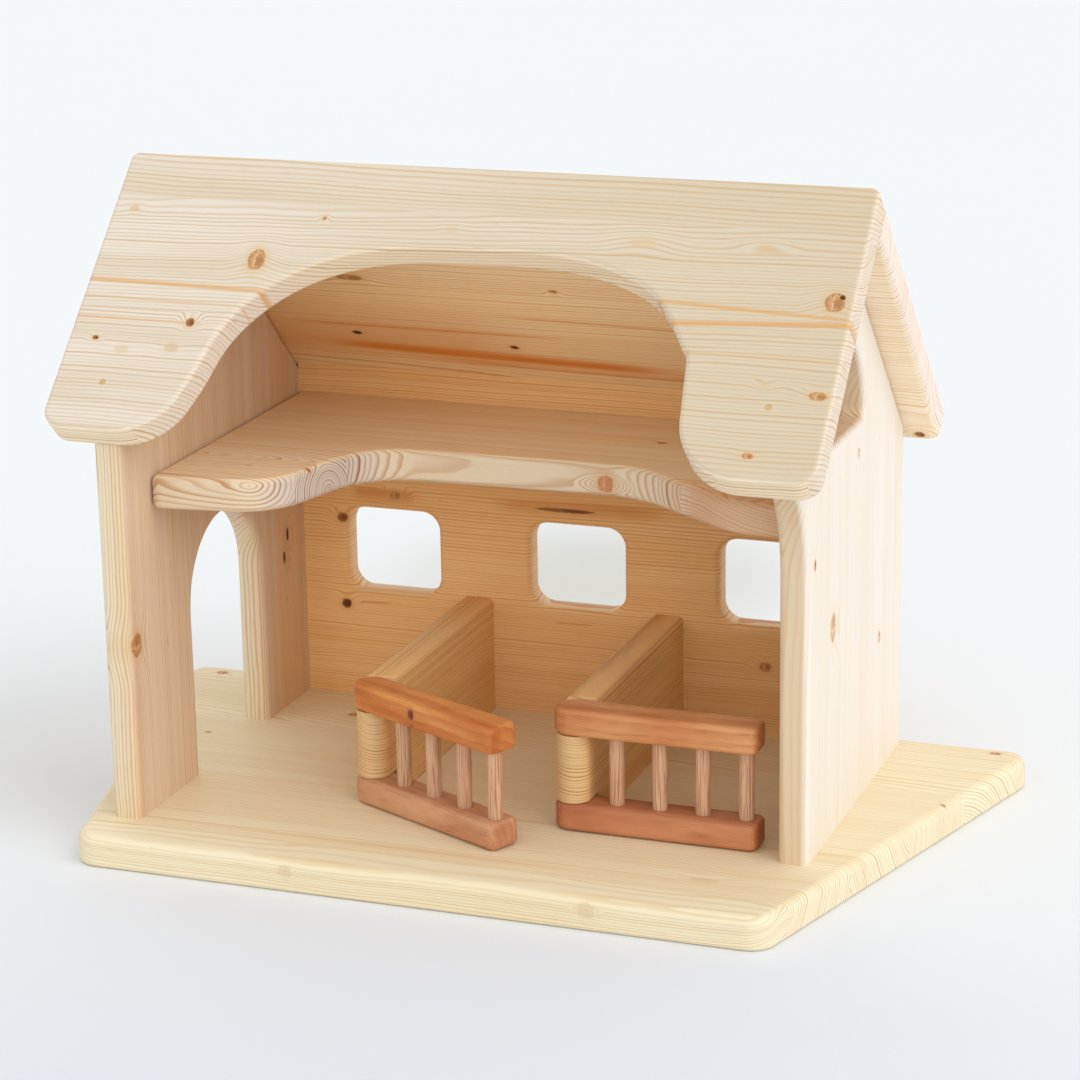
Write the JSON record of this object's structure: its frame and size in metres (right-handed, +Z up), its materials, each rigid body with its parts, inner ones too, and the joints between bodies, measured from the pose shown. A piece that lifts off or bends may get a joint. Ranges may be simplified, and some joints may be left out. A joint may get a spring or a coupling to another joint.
{
  "type": "toy barn",
  "caption": "Wooden toy horse barn on a wide base, with stalls, swinging spindle gates, a hay loft, an arched roof front, a round-headed doorway and rounded windows.",
  "frame": {"origin": "middle of the footprint's bounding box, on the floor", "axes": "+Z up, +X towards the right gable wall seen from the open front, +Y towards the back wall"},
  "size_m": [0.5175, 0.2929, 0.3602],
  "materials": {
    "gate_rail_wood": "oiled alder",
    "spindle_wood": "oiled oak",
    "dowel_wood": "beech dowel",
    "base_spruce": "sanded, oiled spruce",
    "divider_spruce": "sanded, oiled spruce",
    "roof_spruce": "sanded, oiled spruce",
    "loft_spruce": "sanded, oiled spruce",
    "wall_spruce": "sanded, oiled spruce"
  },
  "bodies": {
    "house": {"back_roof_panel": "roof_spruce", "back_wall": "wall_spruce", "back_wall_dowels": "dowel_wood", "base_board": "base_spruce", "divider_dowels": "dowel_wood", "front_roof_panel": "roof_spruce", "left_divider": "divider_spruce", "left_wall": "wall_spruce", "loft_dowels": "dowel_wood", "loft_floor": "loft_spruce", "ridge_dowels": "dowel_wood", "right_divider": "divider_spruce", "right_wall": "wall_spruce", "roof_pins": "dowel_wood", "wall_foot_dowels": "dowel_wood"},
    "left_gate": {"left_gate_bottom_rail": "gate_rail_wood", "left_gate_pivot_pin": "dowel_wood", "left_gate_spindle_1": "spindle_wood", "left_gate_spindle_2": "spindle_wood", "left_gate_spindle_3": "spindle_wood", "left_gate_spindle_4": "spindle_wood", "left_gate_top_rail": "gate_rail_wood"},
    "right_gate": {"right_gate_bottom_rail": "gate_rail_wood", "right_gate_pivot_pin": "dowel_wood", "right_gate_spindle_1": "spindle_wood", "right_gate_spindle_2": "spindle_wood", "right_gate_spindle_3": "spindle_wood", "right_gate_spindle_4": "spindle_wood", "right_gate_top_rail": "gate_rail_wood"}
  },
  "joints": [
    {"name": "left_gate_swing", "type": "hinge", "parent": "house", "child": "left_gate", "pos_m": [-0.06334, -0.05146, 0.052], "axis": [0, 0, -1], "range_deg": [-25.7, 151.3]},
    {"name": "right_gate_swing", "type": "hinge", "parent": "house", "child": "right_gate", "pos_m": [0.05266, -0.05406, 0.052], "axis": [0, 0, -1], "range_deg": [0, 90]}
  ]
}
